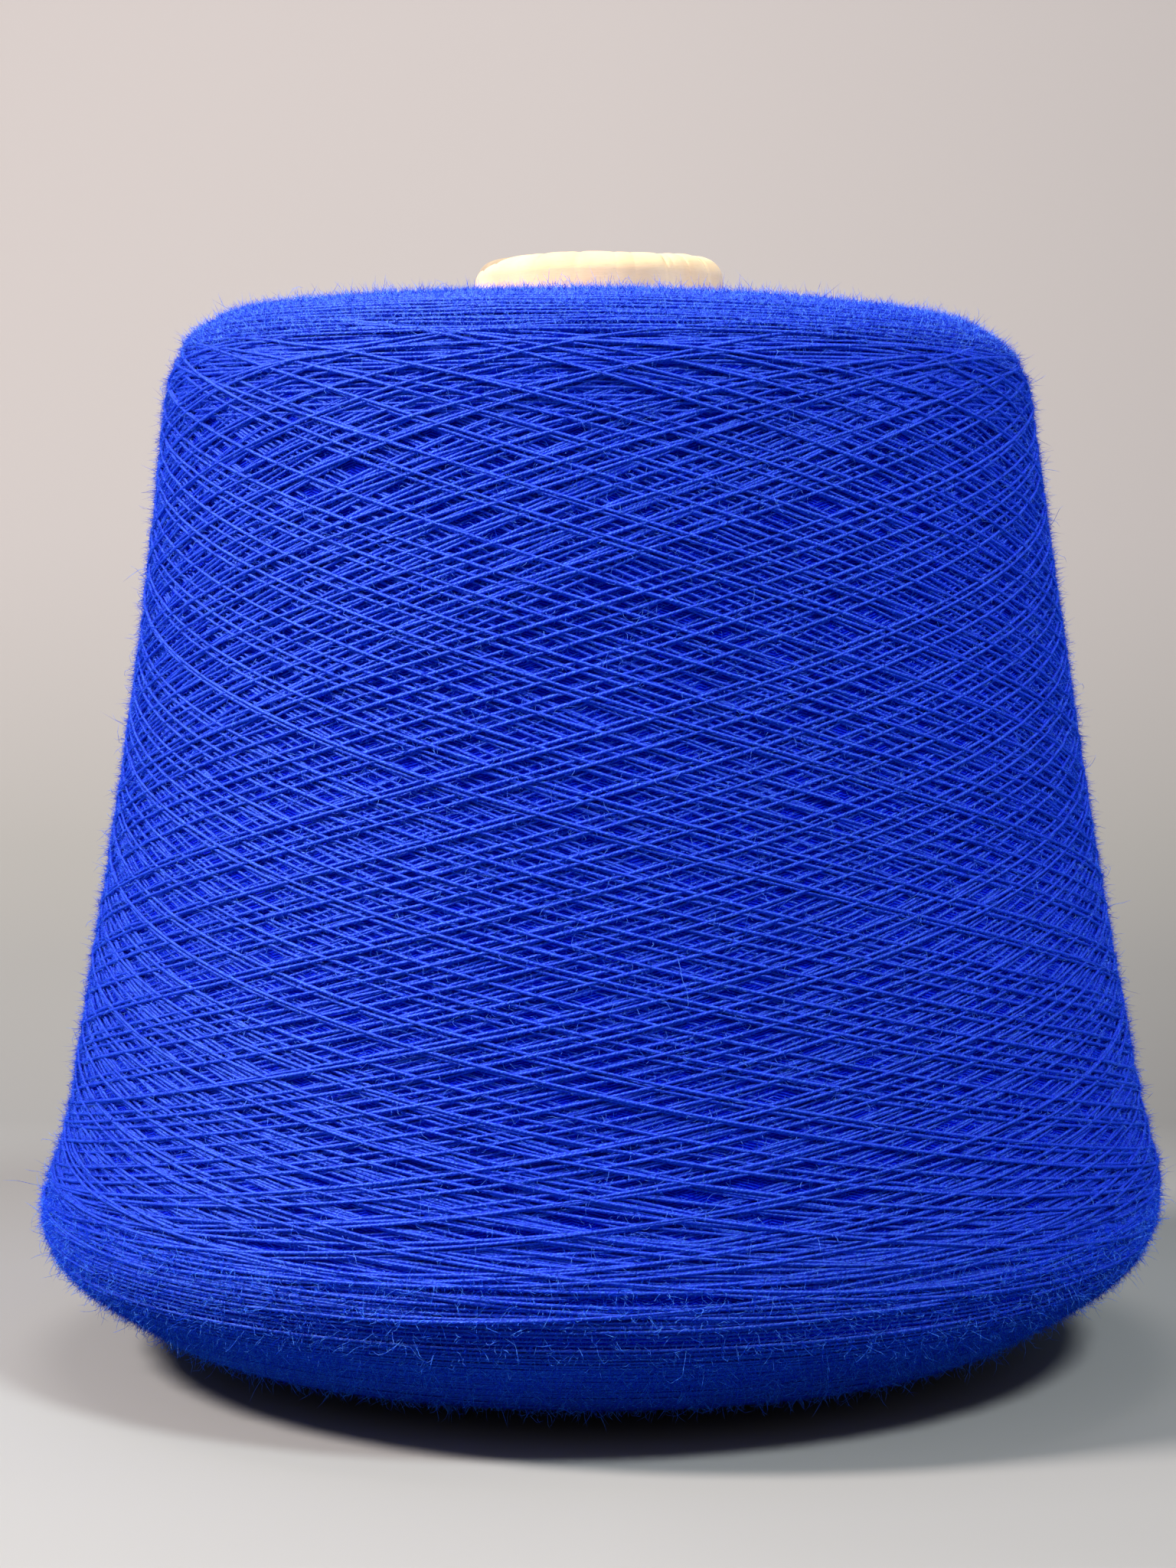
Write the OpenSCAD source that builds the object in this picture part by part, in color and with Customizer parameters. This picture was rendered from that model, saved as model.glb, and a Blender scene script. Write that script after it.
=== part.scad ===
// Cone of yarn: a paper cone with a cross-wound package of thread on it.
// Millimetres, +Z up. The origin is the centre of the cone's base, where it stands.

/* [Paper cone] */
// Height of the cone, base to nose
cone_h = 170; // [140:1:220]
// Outside diameter that the taper has at the height of the nose
nose_d = 38; // [30:0.1:60]
// Half angle of the taper, degrees
taper = 5.95; // [3:0.05:9.2]
// Thickness of the rolled board
board_t = 2.2; // [1.8:0.1:3]
// Thickness of the cover ply
ply_t = 0.35; // [0.2:0.05:0.8]
// Thickness of the glue between the board and the ply
glue_t = 0.05; // [0.02:0.01:0.1]
// Rounding of the nose, outside
nose_round = 3.4; // [2:0.1:3.4]
// Rounding of the nose, into the bore
bore_round = 1.4; // [1:0.1:1.5]
// Height of the straight bore in the nose, where the board is turned in
bore_h = 7; // [4:0.5:14]
// How far the board's turned-in hem reaches below the ply's
hem_extra = 2; // [0.5:0.5:6]
// How far the cover ply is trimmed back from the base
ply_trim = 1; // [0.5:0.1:4]

/* [Wound package] */
// Widest diameter, low on the package
yarn_d = 173.8; // [140:0.2:220]
// Diameter at the top of the flank
yarn_top_d = 134.6; // [110:0.2:150]
// Height of the underside above the base, at the cone
yarn_foot = 2.5; // [1.5:0.5:12]
// Clear gap between the yarn and the paper cone
bore_gap = 0.1; // [0.05:0.05:0.4]
// How far the nose stands out of the package
nose_show = 6.5; // [4:0.5:14]
// How much higher the top face is at the nose than at the shoulder
top_rise = 1.8; // [0.5:0.1:4]
// Rounding of the shoulder
shoulder_r = 15; // [12:0.5:20]
// Height of the widest place above the base
bulge_z = 23; // [22:0.5:40]
// Rounding of the widest place
bulge_r = 11.5; // [8:0.5:12]
// How far in from the widest place the underside ends
under_inset = 18.4; // [14:0.2:22]
// How much higher the underside is at its outer edge than at the cone
under_rise = 2.2; // [0.5:0.1:4]
// Rounding where the underside turns up
under_r = 7; // [6:0.5:16]
// How far the flank is hollow at half its height
flank_hollow = 1.7; // [0:0.1:3]

/* [Outer turns] */
// Diameter of the drawn strand, which stands for a band of finer ones
strand_d = 1.2; // [0.8:0.1:1.6]
// Clear gap between the strokes going up and those going down
cross_gap = 0.45; // [0.42:0.01:0.8]
// Clear gap between the strand and the core under it
core_gap = 0.3; // [0.2:0.05:0.6]
// Clear gap between the strand's two ends and the core that they drop to
end_gap = 0.05; // [0.03:0.01:0.2]
// Number of strokes up, and as many down
cycles = 8; // [5:1:8]
// Turns round the package in one stroke up and one down
cycle_turns = 2.875; // [2.125:0.25:2.875]
// How far down the slope under the widest place the lowest reversals lie
low_reach = 9; // [2:0.5:11]
// How far round the shoulder the highest reversals lie, degrees above the level
high_reach = 42; // [15:1:42]
// Sharpness of the reversals, from 0 for a wave to 1 for a zigzag
sharpness = 0.8; // [0.5:0.05:0.9]
// Direction of the reversal that the strand starts and ends beside, degrees
turn_start = 90; // [0:15:345]

/* [Hidden] */
smooth_fn = 96;
// Rings of the strand in one turn, and sides of each
rings = 24;
sides = 6;
arc_steps = 8;
flank_steps = 10;

// Paper cone
slope = tan(taper);
// How far the board lies inside the outside of the ply
board_inset = ply_t + glue_t;
wall_t = board_t + board_inset;
bore_r = nose_d / 2 - 2 * wall_t;
// Thicknesses measured level, through the tapered wall
ply_level = ply_t / cos(taper);
inset_level = board_inset / cos(taper);
board_level = board_t / cos(taper);

// Package: where it meets the cone, and what the strand takes of its outside
foot_z = yarn_foot;
top_z = cone_h - nose_show;
top_edge_r = shoulder_r / 2;
level_step = strand_d + cross_gap;
chord_dip = yarn_d / 2 * (1 - cos(180 / rings));
wind_t = strand_d + level_step + chord_dip + core_gap;
// Rings of the strand in one cycle. The strand starts some rings past its first
// reversal and stops as many before its last, so that its two ends lie apart.
cycle_rings = rings * cycle_turns;
end_short = 5;
first_ring = end_short;
last_ring = floor(cycle_rings * cycles) - end_short;

cover_colour = [0.93, 0.87, 0.77];
board_colour = [0.62, 0.50, 0.37];
core_colour = [0.03, 0.10, 0.42];
strand_colour = [0.10, 0.22, 0.78];

// ---- plane geometry -------------------------------------------------------------

// Outside radius of the covered cone at a height
function cone_r(z) = nose_d / 2 + (cone_h - z) * slope;

function unit(v) = v / norm(v);

function polar(centre, r, a) = centre + r * [cos(a), sin(a)];

function arc(centre, r, from, to, steps = arc_steps) =
    [for (i = [0:steps]) polar(centre, r, from + (to - from) * i / steps)];

// Angle on a circle of the tangent that comes from a point; turn is 1 or -1
function tangent_angle(centre, r, point, turn) =
    atan2(point.y - centre.y, point.x - centre.x) + turn * acos(r / norm(point - centre));

// Rounds the corner at p, between the directions of a and b
function rounded(a, p, b, r) =
    let (u = unit(a - p))
    let (v = unit(b - p))
    let (half = acos(u * v) / 2)
    let (middle = unit(u + v))
    let (centre = p + middle * r / sin(half))
    let (away = atan2(-middle.y, -middle.x))
    let (side = cross(middle, u) > 0 ? 1 : -1)
    arc(centre, r, away - side * (90 - half), away + side * (90 - half));

// ---- outline of the package ------------------------------------------------------

// The outline runs upwards: the underside, a slope, the widest place, the flank, the
// shoulder and the top face.
foot = [cone_r(foot_z) + bore_gap, foot_z];
under_edge = [yarn_d / 2 - under_inset, foot_z + under_rise];
bulge_centre = [yarn_d / 2 - bulge_r, bulge_z];
bulge_low = tangent_angle(bulge_centre, bulge_r, under_edge, 1);
slope_end = polar(bulge_centre, bulge_r, bulge_low);
shoulder_centre = [yarn_top_d / 2 - shoulder_r, top_z - top_rise - shoulder_r];
top_edge = shoulder_centre + [0, shoulder_r];
top_inner = [cone_r(top_z) + bore_gap, top_z];

// Direction of the flank's normal: the line that touches both circles from outside
circles_apart = shoulder_centre - bulge_centre;
flank_angle = atan2(circles_apart.y, circles_apart.x)
    - acos((bulge_r - shoulder_r) / norm(circles_apart));
flank_out = [cos(flank_angle), sin(flank_angle)];

// Points along the flank between its ends, hollowed, with the flank drawn in by inset
function flank(inset) =
    let (low = bulge_centre + (bulge_r - inset) * flank_out)
    let (high = shoulder_centre + (shoulder_r - inset) * flank_out)
    [for (i = [1:flank_steps - 1])
        let (t = i / flank_steps)
        low + (high - low) * t - 4 * flank_hollow * t * (1 - t) * flank_out];

// The core's outline: the package's own, drawn in by inset from the slope to the
// shoulder. The underside and the top face stay in place.
under_way = unit(under_edge - foot);
slope_way = unit(slope_end - under_edge);
under_turn = acos(under_way * slope_way);

function core_outline(inset) =
    let (edge = under_edge - under_way * inset / sin(under_turn))
    let (slope_top = polar(bulge_centre, bulge_r - inset, bulge_low))
    let (top_angle = tangent_angle(shoulder_centre, shoulder_r - inset, top_edge, -1))
    let (shoulder_top = polar(shoulder_centre, shoulder_r - inset, top_angle))
    concat([foot],
        rounded(foot, edge, slope_top, under_r),
        arc(bulge_centre, bulge_r - inset, bulge_low, flank_angle),
        flank(inset),
        arc(shoulder_centre, shoulder_r - inset, flank_angle, top_angle),
        rounded(shoulder_top, top_edge, top_inner, top_edge_r),
        [top_inner]);

// ---- route of the outer turns ----------------------------------------------------

// The strand's track: the stretch of the package's outside that it is laid on
track = concat(
    [slope_end - low_reach * slope_way, slope_end - low_reach / 2 * slope_way],
    arc(bulge_centre, bulge_r, bulge_low, flank_angle),
    flank(0),
    arc(shoulder_centre, shoulder_r, flank_angle, high_reach));
track_last = len(track) - 1;
// Distance along the track at each of its points
track_s = [for (i = 0, s = 0; i <= track_last;
    s = s + (i < track_last ? norm(track[i + 1] - track[i]) : 0), i = i + 1) s];
track_r_table = [for (i = [0:track_last]) [track_s[i], track[i].x]];
track_z_table = [for (i = [0:track_last]) [track_s[i], track[i].y]];
function track_way(i) = track[min(i + 1, track_last)] - track[max(i - 1, 0)];
// Angle of the track's outward normal above the level
track_tilt_table = [for (i = [0:track_last]) [track_s[i], -atan2(track_way(i).x, track_way(i).y)]];

// Place in the cycle of ring i, as an angle: 0 at the lowest reversal, 180 at the highest
function phase(i) = 360 * (i - cycle_rings * floor(i / cycle_rings)) / cycle_rings;
// Share of the track that ring i has climbed: a wave whose sides run nearly straight
function climb(i) = (1 - asin(sharpness * cos(phase(i))) / asin(sharpness)) / 2;
// Depth of the strand's middle below the outside: the strokes up lie under those down
function depth(i) =
    strand_d / 2 + level_step * (phase(i) == 0 ? 0.5 : phase(i) < 180 ? 1 : 0);

function outward(s, azimuth) =
    let (tilt = lookup(s, track_tilt_table))
    [cos(tilt) * cos(azimuth), cos(tilt) * sin(azimuth), sin(tilt)];
function azimuth(i) = turn_start + 360 * i / rings;
function route_normal(i) = outward(climb(i) * track_s[track_last], azimuth(i));
function route_point(i) =
    let (s = climb(i) * track_s[track_last])
    let (r = lookup(s, track_r_table))
    [r * cos(azimuth(i)), r * sin(azimuth(i)), lookup(s, track_z_table)]
        - depth(i) * route_normal(i);

laid = [for (i = [first_ring:last_ring]) route_point(i)];
laid_normals = [for (i = [first_ring:last_ring]) route_normal(i)];
laid_last = len(laid) - 1;

// Each end turns square to the core and runs straight down to it
function drop(i) = wind_t - depth(i) - end_gap;
head = laid[0] - drop(first_ring) * laid_normals[0];
tail = laid[laid_last] - drop(last_ring) * laid_normals[laid_last];

// A ring of the strand: its middle, and the two directions that it is drawn in
function ring(middle, normal, way) =
    let (side = unit(cross(way, normal)))
    let (up = unit(cross(side, way)))
    [for (k = [0:sides - 1])
        middle + strand_d / 2 * (cos(360 * k / sides) * up + sin(360 * k / sides) * side)];

function laid_way(i) = unit(laid[min(i + 1, laid_last)] - laid[max(i - 1, 0)]);
head_way = laid_way(0);
head_up = laid_normals[0];
tail_way = laid_way(laid_last);
tail_up = laid_normals[laid_last];

// The ring at each end's corner is half turned between the two runs that meet there
strand_rings = concat(
    [ring(head, -head_way, head_up)],
    [ring(laid[0], head_up - head_way, head_up + head_way)],
    [for (i = [1:laid_last - 1]) ring(laid[i], laid_normals[i], laid_way(i))],
    [ring(laid[laid_last], tail_up + tail_way, tail_way - tail_up)],
    [ring(tail, tail_way, -tail_up)]);

// ---- least gap of the strand to itself ---------------------------------------------

function point_to_run(p, a, b) =
    let (u = b - a)
    let (t = max(0, min(1, (p - a) * u / (u * u))))
    norm(p - a - t * u);
// Distance between two straight runs: at their crossing, or else at one of their ends
function run_to_run(a, b, c, d) =
    let (n = cross(b - a, d - c))
    let (w = c - a)
    let (crossing = n * n > 0)
    let (s = crossing ? cross(w, d - c) * n / (n * n) : -1)
    let (t = crossing ? cross(w, b - a) * n / (n * n) : -1)
    let (inside = s >= 0 && s <= 1 && t >= 0 && t <= 1)
    inside ? abs(w * unit(n))
        : min(point_to_run(a, c, d), point_to_run(b, c, d),
            point_to_run(c, a, b), point_to_run(d, a, b));
// Runs that pass in the same sector, or in the one beside it, in later turns
function least_gap() = min([
    for (i = [0:laid_last - 1])
        for (turn = [1:floor((laid_last - 1 - i) / rings) + 1])
            for (beside = [-1:1])
                let (j = i + turn * rings + beside)
                if (j < laid_last) run_to_run(laid[i], laid[i + 1], laid[j], laid[j + 1])
]) - strand_d;

// ---- sub-parts -------------------------------------------------------------------

// Rolled board: a tapered wall, turned in at the nose to a doubled, rounded hem
module board_cone() {
    outer = inset_level;
    inner = inset_level + board_level;
    rim_z = cone_h - board_inset;
    hem_z = cone_h - bore_h - hem_extra;
    hem_r = bore_r + board_inset;
    corner = [cone_r(rim_z) - outer, rim_z];
    bore_corner = [hem_r, rim_z];
    color(board_colour)
        rotate_extrude($fn = smooth_fn)
            polygon(concat(
                [[cone_r(0) - inner, 0], [cone_r(0) - outer, 0]],
                rounded([cone_r(0) - outer, 0], corner, bore_corner, nose_round - board_inset),
                rounded(corner, bore_corner, [hem_r, 0], bore_round - board_inset),
                [[hem_r, hem_z], [cone_r(hem_z) - inner, hem_z - board_t]]));
}

// Cover ply: thin paper over the whole flank and the nose, tucked into the bore
module cover_ply() {
    rim_z = cone_h - ply_t;
    tuck_z = cone_h - bore_h;
    outer_corner = [cone_r(cone_h), cone_h];
    outer_bore = [bore_r, cone_h];
    inner_corner = [cone_r(rim_z) - ply_level, rim_z];
    inner_bore = [bore_r + ply_t, rim_z];
    color(cover_colour)
        rotate_extrude($fn = smooth_fn)
            polygon(concat(
                [[cone_r(ply_trim), ply_trim]],
                rounded([cone_r(ply_trim), ply_trim], outer_corner, outer_bore, nose_round),
                rounded(outer_corner, outer_bore, [bore_r, 0], bore_round),
                [[bore_r, tuck_z], [bore_r + ply_t, tuck_z]],
                rounded([bore_r + ply_t, 0], inner_bore, inner_corner, bore_round - ply_t),
                rounded(inner_bore, inner_corner, [cone_r(0) - ply_level, 0], nose_round - ply_t),
                [[cone_r(ply_trim) - ply_level, ply_trim]]));
}

// The wound yarn under the outer turns
module yarn_core() {
    color(core_colour)
        rotate_extrude($fn = smooth_fn)
            polygon(core_outline(wind_t));
}

// The outer turns: one unbroken strand that climbs and falls round the core
module outer_turns() {
    echo("least gap of the outer turns to themselves, mm", least_gap());
    echo("turns of the strand", laid_last / rings);
    last = len(strand_rings) - 1;
    faces = concat(
        [for (i = [0:last - 1]) for (k = [0:sides - 1])
            [i * sides + k, i * sides + (k + 1) % sides, (i + 1) * sides + (k + 1) % sides]],
        [for (i = [0:last - 1]) for (k = [0:sides - 1])
            [i * sides + k, (i + 1) * sides + (k + 1) % sides, (i + 1) * sides + k]],
        [for (k = [1:sides - 2]) [0, k + 1, k]],
        [for (k = [1:sides - 2]) [last * sides, last * sides + k, last * sides + k + 1]]);
    color(strand_colour)
        polyhedron([for (r = strand_rings) for (p = r) p], faces);
}

board_cone();
cover_ply();
yarn_core();
outer_turns();
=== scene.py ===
import math

import bpy
import numpy as np
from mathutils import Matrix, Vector


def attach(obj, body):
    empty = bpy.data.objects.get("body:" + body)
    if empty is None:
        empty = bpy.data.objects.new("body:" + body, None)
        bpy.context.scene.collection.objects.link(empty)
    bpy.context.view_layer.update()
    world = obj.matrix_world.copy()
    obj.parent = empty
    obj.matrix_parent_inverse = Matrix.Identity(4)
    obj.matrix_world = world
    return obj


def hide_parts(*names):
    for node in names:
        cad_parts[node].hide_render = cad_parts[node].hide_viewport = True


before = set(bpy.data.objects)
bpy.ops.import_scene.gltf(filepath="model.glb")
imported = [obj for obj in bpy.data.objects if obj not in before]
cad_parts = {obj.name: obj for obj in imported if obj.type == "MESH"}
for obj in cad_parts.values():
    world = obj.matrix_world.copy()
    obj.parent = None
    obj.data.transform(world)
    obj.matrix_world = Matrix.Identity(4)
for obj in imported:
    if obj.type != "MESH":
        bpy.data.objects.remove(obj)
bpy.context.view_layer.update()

# All sizes below are in millimetres, as in the CAD source; MM brings them to metres.
MM = 0.001
rng = np.random.default_rng(20)


# ---- camera ----------------------------------------------------------------------
# The photograph's frame is 1536 x 2048 pixels, and the long side takes the sensor.
PICTURE_H = 2048
PICTURE_MIDDLE_X = 768
SENSOR = 36.0
FOCAL_PX = 4582
AXIS_PX_X = 782
CAMERA_DISTANCE = 551.7
CAMERA_HEIGHT = 128.4
CAMERA_PITCH = math.radians(4.2)

camera_data = bpy.data.cameras.new("camera")
camera_data.sensor_width = SENSOR
camera_data.lens = FOCAL_PX / PICTURE_H * SENSOR
camera = bpy.data.objects.new("camera", camera_data)
bpy.context.scene.collection.objects.link(camera)
camera.location = (0, -CAMERA_DISTANCE * MM, CAMERA_HEIGHT * MM)
camera_yaw = math.atan((AXIS_PX_X - PICTURE_MIDDLE_X) / FOCAL_PX)
camera.rotation_euler = (math.pi / 2 - CAMERA_PITCH, 0, camera_yaw)
bpy.context.scene.camera = camera


# ---- the package's outline, as in the CAD source ------------------------------------
CONE_H = 170.0
NOSE_R = 19.0
TAPER = math.radians(5.95)
BOARD_T = 2.2
PLY_T = 0.4
NOSE_ROUND = 3.4
BORE_ROUND = 1.4
BORE_H = 7.0
PLY_TRIM = 1.0
YARN_R = 86.9
YARN_TOP_R = 67.3
YARN_FOOT = 2.5
BORE_GAP = 0.1
NOSE_SHOW = 6.5
TOP_RISE = 1.8
SHOULDER_R = 15.0
BULGE_Z = 23.0
BULGE_R = 11.5
UNDER_INSET = 18.4
UNDER_RISE = 2.2
UNDER_R = 7.0
FLANK_HOLLOW = 1.7
BORE_R = NOSE_R - 2 * (BOARD_T + PLY_T)


def cone_r(z):
    """Outside radius of the covered cone at a height."""
    return NOSE_R + (CONE_H - z) * math.tan(TAPER)


def polar(centre, r, angle):
    """Points on a circle at these angles."""
    return centre + r * np.stack([np.cos(angle), np.sin(angle)], -1)


def unit(v):
    """The same directions with a length of one."""
    return v / np.linalg.norm(v, axis=-1, keepdims=True)


def tangent_angle(centre, r, point, turn):
    """Angle at which a line from a point touches a circle, on the side given by turn."""
    away = point - centre
    return math.atan2(away[1], away[0]) + turn * math.acos(r / np.linalg.norm(away))


def arc(centre, r, start, end, steps=24):
    """Points on a circle from one angle to another."""
    return polar(centre, r, np.linspace(start, end, steps + 1))


def rounded(a, p, b, r, steps=12):
    """Points that round the corner at p, between the directions of a and b."""
    u, v = unit(a - p), unit(b - p)
    half = math.acos(float(u @ v)) / 2
    middle = unit(u + v)
    centre = p + middle * r / math.sin(half)
    away = math.atan2(-middle[1], -middle[0])
    side = 1 if middle[0] * u[1] - middle[1] * u[0] > 0 else -1
    spread = side * (math.pi / 2 - half)
    return arc(centre, r, away - spread, away + spread, steps)


def running_mean(padded, reach):
    """The mean over reach values on either side, of values padded by as many."""
    return np.convolve(padded, np.ones(2 * reach + 1) / (2 * reach + 1), "valid")


class Outline:
    """The package's outside, as radius and height against the distance along it."""

    STEP = 0.25
    SMOOTHING = 8  # steps on either side over which the corners are eased
    FLANK_POINTS = 60

    def __init__(self):
        top_z = CONE_H - NOSE_SHOW
        foot = np.array([cone_r(YARN_FOOT) + BORE_GAP, YARN_FOOT])
        edge = np.array([YARN_R - UNDER_INSET, YARN_FOOT + UNDER_RISE])
        bulge = np.array([YARN_R - BULGE_R, BULGE_Z])
        shoulder = np.array([YARN_TOP_R - SHOULDER_R, top_z - TOP_RISE - SHOULDER_R])
        top = np.array([cone_r(top_z) + BORE_GAP, top_z])
        low = tangent_angle(bulge, BULGE_R, edge, 1)
        apart = shoulder - bulge
        side = math.atan2(apart[1], apart[0])
        side -= math.acos((BULGE_R - SHOULDER_R) / np.linalg.norm(apart))
        out = np.array([math.cos(side), math.sin(side)])
        flank_low, flank_high = bulge + BULGE_R * out, shoulder + SHOULDER_R * out
        t = np.linspace(0, 1, self.FLANK_POINTS)[1:-1, None]
        flank = flank_low + (flank_high - flank_low) * t
        flank -= 4 * FLANK_HOLLOW * t * (1 - t) * out
        points = np.concatenate([
            foot[None],
            rounded(foot, edge, polar(bulge, BULGE_R, low), UNDER_R),
            arc(bulge, BULGE_R, low, side),
            flank,
            arc(shoulder, SHOULDER_R, side, math.pi / 2),
            top[None],
        ])
        gaps = np.linalg.norm(np.diff(points, axis=0), axis=1)
        along = np.concatenate([[0], np.cumsum(gaps)])
        self.length = along[-1]
        self.s = np.arange(0, self.length, self.STEP)
        self.r = self.smooth(np.interp(self.s, along, points[:, 0]))
        self.z = self.smooth(np.interp(self.s, along, points[:, 1]))
        way = unit(np.stack([np.gradient(self.r), np.gradient(self.z)], -1))
        self.out_r = self.smooth(way[:, 1])
        self.out_z = self.smooth(-way[:, 0])

    def smooth(self, values):
        """A running mean that keeps the slope at both ends."""
        padded = np.pad(values, self.SMOOTHING, mode="reflect", reflect_type="odd")
        return running_mean(padded, self.SMOOTHING)

    def at(self, s):
        """Radius, height and outward normal at these distances."""
        columns = (self.r, self.z, self.out_r, self.out_z)
        return [np.interp(s, self.s, c) for c in columns]

    def spread(self, low, high, count):
        """Random distances between two, as many to each area of the surface."""
        span = (self.s >= low) & (self.s <= high)
        share = np.cumsum(self.r[span])
        return np.interp(rng.uniform(share[0], share[-1], count), share, self.s[span])

    def where_z(self, z):
        """Distance along the outline at which it first rises to a height."""
        return float(self.s[np.argmax(self.z >= z)])


outline = Outline()


# ---- how the yarn lies ---------------------------------------------------------------
THREAD_D = 0.62  # with its hair
THREAD_WIDTH = 0.53  # of the twisted plies inside the hair
THREAD_THICKNESS = 0.48
SAMPLE = 0.45  # distance between the points at which a thread's height is worked out


def smoothed(values, reach):
    """A running mean over reach values on either side, level at the ends."""
    return running_mean(np.pad(values, reach, mode="edge"), reach)


def blurred(grid, reach):
    """The mean of a grid over reach cells all round, whose columns close in a ring."""
    for axis, mode in ((0, "wrap"), (1, "edge")):
        ends = [(reach + 1, reach) if a == axis else (0, 0) for a in (0, 1)]
        total = np.cumsum(np.pad(grid, ends, mode=mode), axis=axis, dtype=np.float64)
        total = np.moveaxis(total, axis, 0)
        mean = (total[2 * reach + 1:] - total[:-2 * reach - 1]) / (2 * reach + 1)
        grid = np.moveaxis(mean, 0, axis)
    return grid


class Bed:
    """How high the yarn laid so far stands over the ground, on a grid round the package."""

    COLUMNS = 1440  # round the package
    CELL = 0.3  # size of a cell along the outline
    SINK = 0.14  # how far a thread presses into what is under it
    PROUD = 0.22  # how far a thread's underside may rise over the mean surface
    DIP = 0.30  # and how far it may lie under it
    REST = 2  # samples on either side that hold a thread up
    BEND = 3  # samples on either side over which its height is eased
    SEAT = 0.43  # its middle over its underside, as a share of its thickness
    FALL = 0.8  # how far to its side the next row's middle lies, in cells
    FLATTENED = 0.05  # how much lower its crown is than a round thread's
    REFRESH = 8  # threads laid between two measurements of the mean surface
    LAYING_BLUR = 6  # rows on either side in these measurements
    MEAN_BLUR = 10  # and in the last one
    TOP_SHARE, TOP_BLUR = 0.95, 8
    LOW_SHARE, LOW_BLUR = 0.08, 4

    def __init__(self):
        self.rows = int(outline.length / self.CELL) + 4
        self.height = np.zeros((self.COLUMNS, self.rows), np.float32)
        self.level = np.zeros(self.rows)
        self.laid = 0

    def cells(self, azimuth, s):
        """Column and row of the cells at these places."""
        column = np.floor(azimuth / (2 * math.pi) * self.COLUMNS).astype(int) % self.COLUMNS
        return column, np.clip((s / self.CELL).astype(int), 1, self.rows - 2)

    def lay(self, azimuth, s, proud):
        """Lays a thread on its course and returns the height of its middle."""
        if self.laid % self.REFRESH == 0:
            self.level = smoothed(self.height.mean(0), self.LAYING_BLUR)
        self.laid += 1
        column, row = self.cells(azimuth, s)
        under = np.maximum(self.height[column, row], self.height[column, row - 1])
        under = np.maximum(under, self.height[column, row + 1])
        padded = np.pad(under, self.REST, mode="edge")
        windows = np.lib.stride_tricks.sliding_window_view(padded, 2 * self.REST + 1)
        over = smoothed(windows.max(1), self.BEND) - self.SINK - self.level[row]
        reach = np.where(over > 0, proud, self.DIP)
        bottom = self.level[row] + reach * np.tanh(over / reach)
        middle = smoothed(bottom, self.BEND) + THREAD_D * self.SEAT
        for offset in (-1, 0, 1):
            aside = offset * self.CELL * self.FALL
            top = middle + math.sqrt((THREAD_D / 2) ** 2 - aside ** 2) - self.FLATTENED
            np.maximum.at(self.height, (column, row + offset), top.astype(np.float32))
        return middle

    def finish(self):
        """Measures the surface: its mean, the tops that the outline passes through, its
        lowest places, and the mean round each cell."""
        self.level = smoothed(self.height.mean(0), self.MEAN_BLUR)
        self.top = smoothed(np.quantile(self.height, self.TOP_SHARE, axis=0), self.TOP_BLUR)
        self.low = smoothed(np.quantile(self.height, self.LOW_SHARE, axis=0), self.LOW_BLUR)
        self.local = blurred(self.height, self.MEAN_BLUR)

    def at(self, line, s):
        """The value of one of these lines at distances along the outline."""
        return np.interp(s / self.CELL, np.arange(self.rows), line)


bed = Bed()
# The threads laid, each with its azimuth, distance along the outline and height of its middle
strokes = []
level_turns = []


def wander(count, reach, size):
    """A slow random sway of about this size, with bends that are reach samples apart."""
    knots = rng.normal(0, 1, count // reach + 4)
    return size * np.interp(np.arange(count) / reach, np.arange(len(knots)), knots)


# The crossing strokes. The angle to the level at these heights, away from the reversals.
ANGLE_Z = (20, 60, 80, 120, 150)
ANGLE = (13.5, 13.8, 15.6, 17.0, 17.2)
LOW_TURN_Z, HIGH_TURN_Z = 23.0, 157.0
LOW_BEND, HIGH_BEND = 0.040, 0.087  # how fast a stroke steepens off each reversal
BEND_BLEND = 4.0  # how sharply the least of these three steepnesses rules
LOW_SHIFT, HIGH_SHIFT = (-4, 5), (-4, 3)  # how far a reversal may lie off its place
END_REACH = 14.0  # how far from a reversal its own shift still tells
STROKE_R = 80  # radius that sets the number of a stroke's samples
STROKE_SWAY = (110, 0.10)  # samples between its bends, and its size
RISE_PER_TURN = 137.0  # distance along the flank that a stroke covers in a turn
TURN_SPREAD = 0.005  # by which pairs of strokes differ in length, in radians


def stroke_course(steps=2400):
    """One stroke up: distance along the outline against the angle turned."""
    low, high = outline.where_z(LOW_TURN_Z), outline.where_z(HIGH_TURN_Z)
    s = low + (high - low) * (1 - np.cos(np.linspace(0, math.pi, steps))) / 2
    middle = (s[1:] + s[:-1]) / 2
    r, z, _, _ = outline.at(middle)
    free = np.tan(np.radians(np.interp(z, ANGLE_Z, ANGLE)))
    bends = (LOW_BEND * np.sqrt(middle - low), HIGH_BEND * np.sqrt(high - middle), free)
    steepness = sum(b ** -BEND_BLEND for b in bends) ** (-1 / BEND_BLEND)
    turned = np.concatenate([[0], np.cumsum(np.diff(s) / (r * steepness))])
    return turned, s


course_turned, course_s = stroke_course()


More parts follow.
